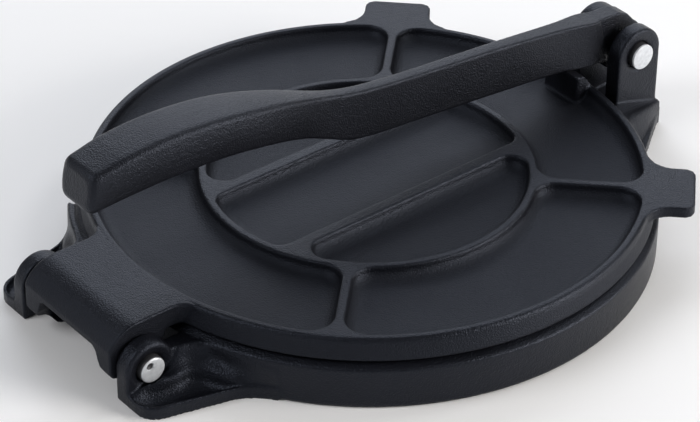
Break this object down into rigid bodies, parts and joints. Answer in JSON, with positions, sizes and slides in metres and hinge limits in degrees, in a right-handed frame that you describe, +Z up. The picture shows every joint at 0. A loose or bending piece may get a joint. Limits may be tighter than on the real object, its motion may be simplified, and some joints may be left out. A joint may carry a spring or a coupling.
{
  "type": "tortilla press",
  "caption": "Cast-iron tortilla press: a round base with hinge ears and lever posts, a ribbed press plate, and a long lever that presses the plate down.",
  "frame": {"origin": "centre of the round plates, on the table that the press stands on", "axes": "+X from the plate's hinge to the lever's pivot, +Y along the hinge pin, +Z up"},
  "size_m": [0.2623, 0.2088, 0.0813],
  "materials": {
    "base_iron": "seasoned sand casting, soft satin",
    "plate_iron": "seasoned sand casting, soft satin",
    "lever_iron": "seasoned sand casting, soft satin",
    "plated_steel": "bright zinc plate"
  },
  "bodies": {
    "base": {"base": "base_iron", "hinge_pin": "plated_steel", "lever_pin": "plated_steel"},
    "plate": {"press_plate": "plate_iron"},
    "lever": {"lever": "lever_iron"}
  },
  "joints": [
    {"name": "lever_swing", "type": "hinge", "parent": "base", "child": "lever", "pos_m": [0.1198, 0, 0.0345], "axis": [0, 1, 0], "range_deg": [0, 176]},
    {"name": "plate_open", "type": "hinge", "parent": "base", "child": "plate", "pos_m": [-0.118, 0, 0.012], "axis": [0, -1, 0], "range_deg": [0, 92]}
  ],
  "couplings": [
    {"joint": "plate_open", "follows": "lever_swing", "ratio": 0.11}
  ]
}
